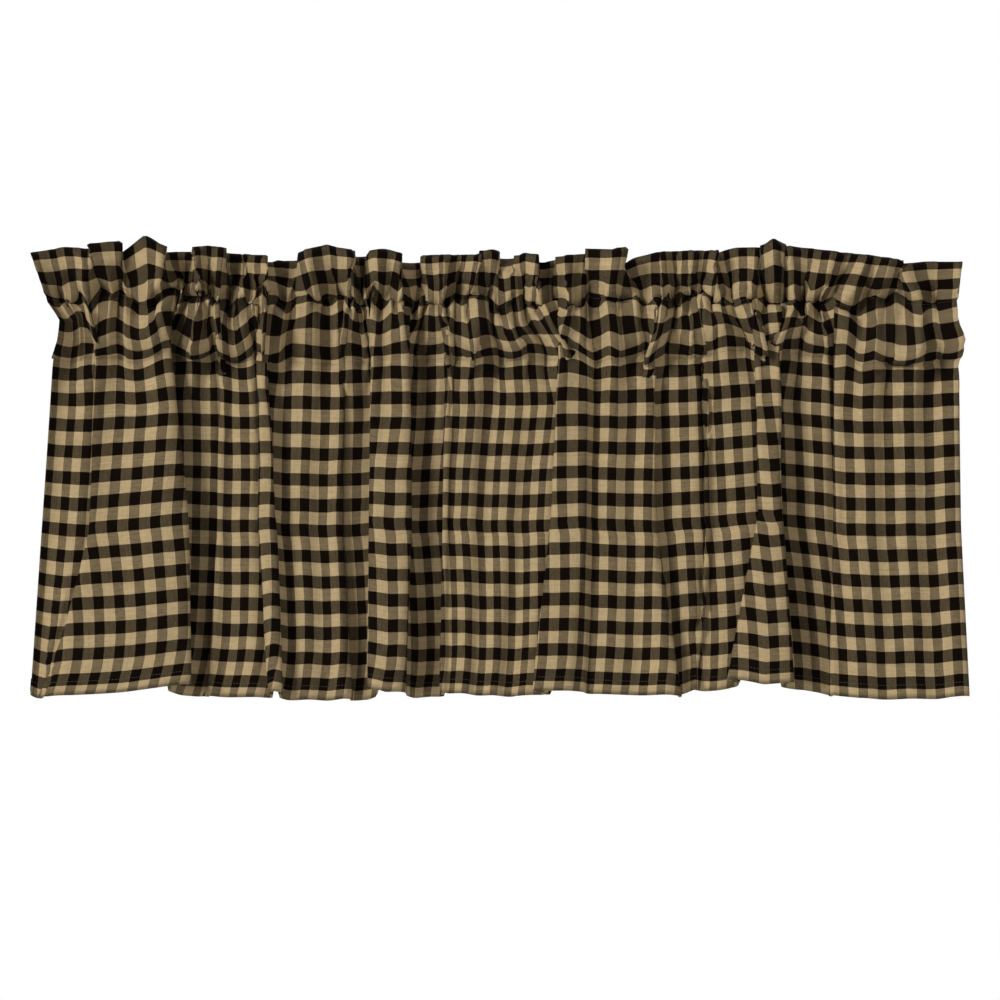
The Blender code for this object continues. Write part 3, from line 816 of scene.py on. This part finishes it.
# The relief: the height of the weave, of the small folds of the cloth and of the creases at its seam.
YARN_RELIEF = 0.6
SLUB_RELIEF = 0.5
WEAVE_STRENGTH = 0.5
WEAVE_HEIGHT = 0.00022
CRUMPLE_STRENGTH = 0.6
CRUMPLE_HEIGHT = 0.0016
SMALL_FOLD_SCALE = 75.0
SMALL_FOLD_STRETCH = 0.35
SMALL_FOLD_DETAIL = 3.0
CREASE_SCALE = 170.0
CREASE_STRETCH = 0.3
CREASE_DETAIL = 2.0
CREASE_REACH = 0.035


def check_cotton():
    """The woven check as a material, laid out on the UV map in metres of flat cloth."""
    material = bpy.data.materials.new("check_cotton")
    material.use_nodes = True
    nodes = material.node_tree.nodes
    links = material.node_tree.links
    shader = nodes["Principled BSDF"]
    shader.inputs["Roughness"].default_value = COTTON_ROUGHNESS
    shader.inputs["Specular IOR Level"].default_value = COTTON_SPECULAR
    shader.inputs["Sheen Weight"].default_value = FUZZ
    shader.inputs["Sheen Roughness"].default_value = FUZZ_ROUGHNESS

    def sum_of(operation, first, second=0.0, third=0.0):
        """The result of a math node on sockets or plain numbers."""
        node = nodes.new("ShaderNodeMath")
        node.operation = operation
        for socket, value in zip(node.inputs, (first, second, third)):
            if isinstance(value, float):
                socket.default_value = value
            else:
                links.new(value, socket)
        return node.outputs[0]

    def noise(across, along, scale=1.0, detail=1.0):
        """A noise from 0 to 1 over two coordinates."""
        place = nodes.new("ShaderNodeCombineXYZ")
        links.new(across, place.inputs[0])
        links.new(along, place.inputs[1])
        texture = nodes.new("ShaderNodeTexNoise")
        texture.inputs["Scale"].default_value = scale
        texture.inputs["Detail"].default_value = detail
        links.new(place.outputs[0], texture.inputs["Vector"])
        return texture.outputs["Fac"]

    flat = nodes.new("ShaderNodeUVMap")
    flat.uv_map = "UVMap"
    parts = nodes.new("ShaderNodeSeparateXYZ")
    links.new(flat.outputs[0], parts.inputs[0])
    wander = noise(parts.outputs[0], parts.outputs[1], WANDER_SCALE, WANDER_DETAIL)
    across = sum_of("MULTIPLY_ADD", wander, WANDER_ACROSS, parts.outputs[0])
    along = sum_of("MULTIPLY_ADD", wander, WANDER_ALONG, parts.outputs[1])

    # Each yarn has a number, a place across it, and thick and thin stretches along it.
    warp_place = sum_of("MULTIPLY", across, 1.0 / WARP_YARN)
    weft_place = sum_of("MULTIPLY", along, 1.0 / WEFT_YARN)
    warp_number = sum_of("FLOOR", warp_place)
    weft_number = sum_of("FLOOR", weft_place)
    warp_off = sum_of("SUBTRACT", sum_of("FRACT", warp_place), 0.5)
    weft_off = sum_of("SUBTRACT", sum_of("FRACT", weft_place), 0.5)

    def along_yarns(number, step, place, per_metre):
        """Places for a noise that is new on each yarn and changes so many times a metre along it."""
        return sum_of("MULTIPLY", number, step), sum_of("MULTIPLY", place, per_metre)

    warp_slub = noise(*along_yarns(warp_number, WARP_SLUB_STEP, along, SLUBS_PER_METRE))
    weft_slub = noise(*along_yarns(weft_number, WEFT_SLUB_STEP, across, SLUBS_PER_METRE)[::-1])
    warp_streak = noise(*along_yarns(warp_number, STREAK_STEP, along, STREAKS_PER_METRE))
    weft_streak = noise(*along_yarns(weft_number, STREAK_STEP, across, STREAKS_PER_METRE)[::-1])

    def is_black(number, yarn, repeat, middle):
        """1 on yarns in a black band and 0 on yarns in a tan one."""
        distance = sum_of("MULTIPLY_ADD", number, yarn / repeat, 0.5 - middle / repeat)
        off = sum_of("ABSOLUTE", sum_of("SUBTRACT", sum_of("FRACT", distance), 0.5))
        return sum_of("LESS_THAN", off, 0.5 * BLACK_SHARE)

    warp_black = is_black(warp_number, WARP_YARN, REPEAT_ACROSS, FIRST_BLACK_COLUMN)
    weft_black = is_black(weft_number, WEFT_YARN, REPEAT_ALONG, BLACK_ROW_MIDDLE)

    # Plain weave: at every second crossing the warp yarn lies on top, narrower than a weft one.
    odd = sum_of("MODULO", sum_of("ABSOLUTE", sum_of("ADD", warp_number, weft_number)), 2.0)
    narrow = sum_of("LESS_THAN", sum_of("ABSOLUTE", weft_off), WARP_WIDTH)
    warp_on_top = sum_of("MULTIPLY", sum_of("GREATER_THAN", odd, 0.5), narrow)

    def yarn_colour(black, slub, streak):
        """The colour of a yarn, lighter where it is thick and in its own pale streaks."""
        mix = nodes.new("ShaderNodeMix")
        mix.data_type = "RGBA"
        mix.inputs["A"].default_value = TAN
        mix.inputs["B"].default_value = BLACK
        links.new(black, mix.inputs["Factor"])
        shade = nodes.new("ShaderNodeHueSaturation")
        links.new(mix.outputs["Result"], shade.inputs["Color"])
        thick = sum_of("MULTIPLY_ADD", slub, SLUB_VALUE, LEAST_VALUE)
        links.new(sum_of("MULTIPLY_ADD", streak, STREAK_VALUE, thick), shade.inputs["Value"])
        saturation = sum_of("MULTIPLY_ADD", slub, SLUB_SATURATION, FULL_SATURATION)
        links.new(saturation, shade.inputs["Saturation"])
        return shade.outputs["Color"]

    top = nodes.new("ShaderNodeMix")
    top.data_type = "RGBA"
    links.new(warp_on_top, top.inputs["Factor"])
    links.new(yarn_colour(weft_black, weft_slub, weft_streak), top.inputs["A"])
    links.new(yarn_colour(warp_black, warp_slub, warp_streak), top.inputs["B"])

    # Tan yarns that cross black ones lie in their shade, more so the thin lengthwise ones.
    mixed = sum_of("ABSOLUTE", sum_of("SUBTRACT", weft_black, warp_black))
    more_lengthwise = MIXED_LOSS_LENGTHWISE - MIXED_LOSS_CROSSWISE
    loss = sum_of("MULTIPLY_ADD", weft_black, more_lengthwise, MIXED_LOSS_CROSSWISE)
    shaded = nodes.new("ShaderNodeHueSaturation")
    links.new(top.outputs["Result"], shaded.inputs["Color"])
    links.new(sum_of("SUBTRACT", 1.0, sum_of("MULTIPLY", mixed, loss)), shaded.inputs["Value"])
    links.new(shaded.outputs["Color"], shader.inputs["Base Color"])

    # Relief: round yarns, their slubs, and the cloth's own small unevenness.
    round_warp = sum_of("COSINE", sum_of("MULTIPLY", warp_off, math.pi))
    round_weft = sum_of("COSINE", sum_of("MULTIPLY", weft_off, math.pi))
    yarns = sum_of("MULTIPLY", round_warp, round_weft)
    slubs = sum_of("ADD", warp_slub, weft_slub)
    relief = sum_of("MULTIPLY_ADD", yarns, YARN_RELIEF, sum_of("MULTIPLY", slubs, SLUB_RELIEF))
    weave = nodes.new("ShaderNodeBump")
    weave.inputs["Strength"].default_value = WEAVE_STRENGTH
    weave.inputs["Distance"].default_value = WEAVE_HEIGHT
    links.new(relief, weave.inputs["Height"])
    fold_place = sum_of("MULTIPLY", parts.outputs[1], SMALL_FOLD_STRETCH)
    small_folds = noise(parts.outputs[0], fold_place, SMALL_FOLD_SCALE, SMALL_FOLD_DETAIL)
    crease_place = sum_of("MULTIPLY", parts.outputs[1], CREASE_STRETCH)
    creases = noise(parts.outputs[0], crease_place, CREASE_SCALE, CREASE_DETAIL)
    from_seam = sum_of("ABSOLUTE", sum_of("SUBTRACT", parts.outputs[1], HEADING_STARTS))
    near_seam = sum_of("MAXIMUM", sum_of("MULTIPLY_ADD", from_seam, -1.0 / CREASE_REACH, 1.0), 0.0)
    crumple = nodes.new("ShaderNodeBump")
    crumple.inputs["Strength"].default_value = CRUMPLE_STRENGTH
    crumple.inputs["Distance"].default_value = CRUMPLE_HEIGHT
    links.new(sum_of("MULTIPLY_ADD", creases, near_seam, small_folds), crumple.inputs["Height"])
    links.new(crumple.outputs[0], weave.inputs["Normal"])
    links.new(weave.outputs[0], shader.inputs["Normal"])
    return material


valance.data.materials.append(check_cotton())


# ---------------------------------------------------------------------------------------------
# The sewing: pale cotton thread in three rows of lockstitch, one along the hem, one along the foot
# of the rod pocket and one along its top. The rows show on the face and on the back of the cloth.
# ---------------------------------------------------------------------------------------------
STITCH_LENGTH = 0.0026
STITCH_PITCH = 0.0030
THREAD_RADIUS = 0.00016
THREAD_STANDS_OUT = 0.6
# The thread's painted shade in the grooves of its twist and its painted light on the plies.
THREAD_IN_PAINTED_GROOVE_SHADE = (0.045, 0.040, 0.030, 1.0)
THREAD_IN_PAINTED_PLY_LIGHT = (0.130, 0.115, 0.085, 1.0)
THREAD_ROUGHNESS = 0.7
TWISTS_SCALE = 2200.0
STITCH_SIDES = 6
STITCH_RINGS = 5
HEM_STITCH_RUN = 0.0124
EDGE_TO_STITCHES = 0.0015
STITCH_ROWS = (
    ("hem_stitching_face", HEM_STITCH_RUN, 1.0, 0.0),
    ("hem_stitching_back", HEM_STITCH_RUN, -1.0, HEM_GAP),
    ("pocket_stitching_face", SKIRT_LENGTH, 1.0, 0.0),
    ("pocket_stitching_back", CUT_LENGTH - EDGE_TO_STITCHES, 1.0, 0.0),
    ("heading_stitching_face", HEADING_STARTS, 1.0, 0.0),
    ("heading_stitching_back", TOP_EDGE_RUN + HEADING_LENGTH, 1.0, 0.0),
)


def thread_material():
    """Twisted cotton thread, its twist painted as shade in the grooves and light on the plies."""
    material = bpy.data.materials.new("sewing_thread")
    material.use_nodes = True
    nodes = material.node_tree.nodes
    links = material.node_tree.links
    shader = nodes["Principled BSDF"]
    shader.inputs["Roughness"].default_value = THREAD_ROUGHNESS
    place = nodes.new("ShaderNodeTexCoord")
    painted_twist_shade = nodes.new("ShaderNodeTexWave")
    painted_twist_shade.wave_type = "BANDS"
    painted_twist_shade.bands_direction = "DIAGONAL"
    painted_twist_shade.inputs["Scale"].default_value = TWISTS_SCALE
    links.new(place.outputs["Object"], painted_twist_shade.inputs["Vector"])
    # Diagonal bands of painted shade and painted light stand for the grooves and plies of the twist.
    ramp = nodes.new("ShaderNodeValToRGB")
    ramp.color_ramp.elements[0].color = THREAD_IN_PAINTED_GROOVE_SHADE
    ramp.color_ramp.elements[1].color = THREAD_IN_PAINTED_PLY_LIGHT
    links.new(painted_twist_shade.outputs["Fac"], ramp.inputs["Fac"])
    links.new(ramp.outputs["Color"], shader.inputs["Base Color"])
    return material


one_stitch = bmesh.new()
bmesh.ops.create_uvsphere(
    one_stitch, u_segments=STITCH_SIDES, v_segments=STITCH_RINGS, radius=1.0
)
loose_stitch = bpy.data.meshes.new("loose_stitch")


def stitching(name, along_run, side, behind):
    """A row of stitches at a run of the cloth, on its face (side 1) or on its back (side -1)."""
    row = int(np.searchsorted(run, along_run + JUST_INSIDE) - 1)
    row = min(row, len(run) - 2)
    share = (along_run - run[row]) / (run[row + 1] - run[row])
    path = fine[row] * (1.0 - share) + fine[row + 1] * share
    normal = normals[row] * (1.0 - share) + normals[row + 1] * share
    off_middle = behind + 0.5 * CLOTH_THICKNESS + THREAD_STANDS_OUT * THREAD_RADIUS
    path = path + side * off_middle * normal
    lengths = lengths_along(path)
    row_of_stitches = bmesh.new()
    for number in range(int(lengths[-1] / STITCH_PITCH)):
        starts = number * STITCH_PITCH
        first, last = (
            Vector(np.array([np.interp(end, lengths, path[:, axis]) for axis in range(3)]))
            for end in (starts, starts + STITCH_LENGTH)
        )
        turn = (last - first).to_track_quat("X", "Z").to_matrix().to_4x4()
        size = Matrix.Diagonal((0.5 * (last - first).length, THREAD_RADIUS, THREAD_RADIUS, 1.0))
        placed = one_stitch.copy()
        placed.transform(Matrix.Translation(0.5 * (first + last)) @ turn @ size)
        placed.to_mesh(loose_stitch)
        placed.free()
        row_of_stitches.from_mesh(loose_stitch)
    mesh = bpy.data.meshes.new(name)
    row_of_stitches.to_mesh(mesh)
    row_of_stitches.free()
    mesh.shade_smooth()
    mesh.materials.append(thread)
    piece = bpy.data.objects.new(name, mesh)
    scene.collection.objects.link(piece)
    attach(piece, "root")
    return piece


thread = thread_material()
sewing = [stitching(*row) for row in STITCH_ROWS]
one_stitch.free()
bpy.data.meshes.remove(loose_stitch)


# ---------------------------------------------------------------------------------------------
# The studio: a plain pale floor, soft light from the upper left with a weaker fill from the right,
# and a long lens level with the valance's middle, straight in front of it.
# ---------------------------------------------------------------------------------------------
FLOOR_Z = -1.95
FLOOR_RADIUS = 3.0
FLOOR_CORNERS = 64
FLOOR_PALE = (0.9, 0.9, 0.9, 1.0)
FLOOR_ROUGHNESS = 0.9
WHITE = (1.0, 1.0, 1.0, 1.0)
ROOM_LIGHT = 0.28
SENSOR_WIDTH = 36.0
CAMERA_DISTANCE = 4.0
FRAME_WIDTH = 0.883
VIEW_CENTRE = (0.0, 0.0, -0.2215)

# The lights: where each one hangs, how wide it is, and its power.
LIGHTS = (
    ("key", (-6.4, -6.8, 3.8), 2.7, 700.0),
    ("fill", (1.6, -3.0, 0.6), 1.6, 16.0),
    ("back_fill", (0.6, 2.6, 1.2), 2.0, 30.0),
)

plane = bmesh.new()
under = Matrix.Translation((0.0, 0.0, FLOOR_Z))
bmesh.ops.create_circle(
    plane, cap_ends=True, segments=FLOOR_CORNERS, radius=FLOOR_RADIUS, matrix=under
)
floor_mesh = bpy.data.meshes.new("floor")
plane.to_mesh(floor_mesh)
plane.free()
floor = bpy.data.objects.new("floor", floor_mesh)
scene.collection.objects.link(floor)
pale = bpy.data.materials.new("pale_floor")
pale.use_nodes = True
pale.node_tree.nodes["Principled BSDF"].inputs["Base Color"].default_value = FLOOR_PALE
pale.node_tree.nodes["Principled BSDF"].inputs["Roughness"].default_value = FLOOR_ROUGHNESS
floor_mesh.materials.append(pale)

world = bpy.data.worlds.new("studio")
world.use_nodes = True
sky = world.node_tree.nodes
room = sky["Background"]
room.inputs["Color"].default_value = WHITE
room.inputs["Strength"].default_value = ROOM_LIGHT
backdrop = sky.new("ShaderNodeBackground")
backdrop.inputs["Color"].default_value = WHITE
seen = sky.new("ShaderNodeMixShader")
ray = sky.new("ShaderNodeLightPath")
world.node_tree.links.new(ray.outputs["Is Camera Ray"], seen.inputs["Fac"])
world.node_tree.links.new(room.outputs[0], seen.inputs[1])
world.node_tree.links.new(backdrop.outputs[0], seen.inputs[2])
world.node_tree.links.new(seen.outputs[0], sky["World Output"].inputs["Surface"])
scene.world = world


def soft_light(name, place, size, power):
    """A square area light that faces the middle of the view."""
    lamp = bpy.data.lights.new(name, "AREA")
    lamp.energy = power
    lamp.size = size
    light = bpy.data.objects.new(name, lamp)
    light.location = place
    light.rotation_euler = (Vector(VIEW_CENTRE) - light.location).to_track_quat("-Z", "Y").to_euler()
    scene.collection.objects.link(light)


for light_row in LIGHTS:
    soft_light(*light_row)

lens = bpy.data.cameras.new("camera")
lens.sensor_width = SENSOR_WIDTH
lens.lens = SENSOR_WIDTH * CAMERA_DISTANCE / FRAME_WIDTH
camera = bpy.data.objects.new("camera", lens)
camera.location = (VIEW_CENTRE[0], VIEW_CENTRE[1] - CAMERA_DISTANCE, VIEW_CENTRE[2])
camera.rotation_euler = (math.radians(90.0), 0.0, 0.0)
scene.collection.objects.link(camera)
scene.camera = camera
scene.view_settings.view_transform = "Standard"
